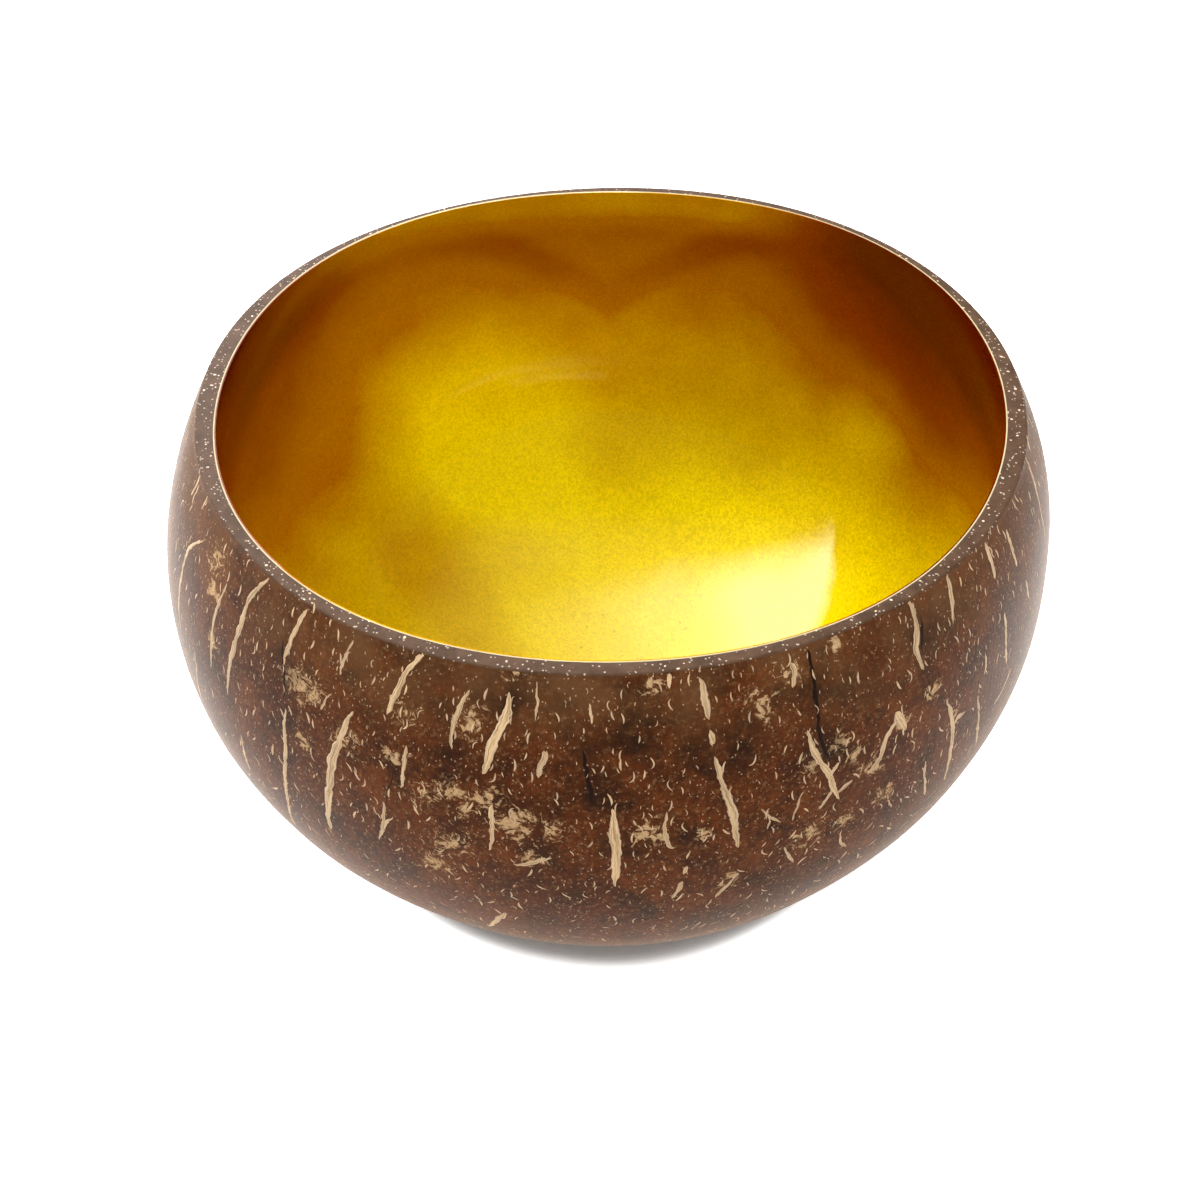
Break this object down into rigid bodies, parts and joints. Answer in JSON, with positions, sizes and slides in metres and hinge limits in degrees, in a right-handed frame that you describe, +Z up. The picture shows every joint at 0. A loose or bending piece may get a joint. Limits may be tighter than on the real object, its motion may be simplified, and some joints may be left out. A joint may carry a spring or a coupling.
{
  "type": "coconut shell bowl",
  "caption": "Round bowl sawn from a coconut shell, polished outside with pale fibre streaks, flat rim and foot, lined inside with gold lacquer over a pale undercoat.",
  "frame": {"origin": "centre of the flat sanded foot, on the table", "axes": "+Z up out of the mouth, -Y towards the viewer of the picture, +X to that viewer's right"},
  "size_m": [0.1398, 0.1385, 0.08],
  "materials": {
    "coconut_shell": "sanded and polished coconut shell under a clear gloss varnish, pale fibre streaks and flecks",
    "undercoat": "cream primer, sanded flush with the rim",
    "gold_lacquer": "gold metallic lacquer with a gloss clear coat"
  },
  "bodies": {
    "root": {"coconut_shell": "coconut_shell", "undercoat": "undercoat", "gold_lacquer": "gold_lacquer"}
  },
  "joints": []
}
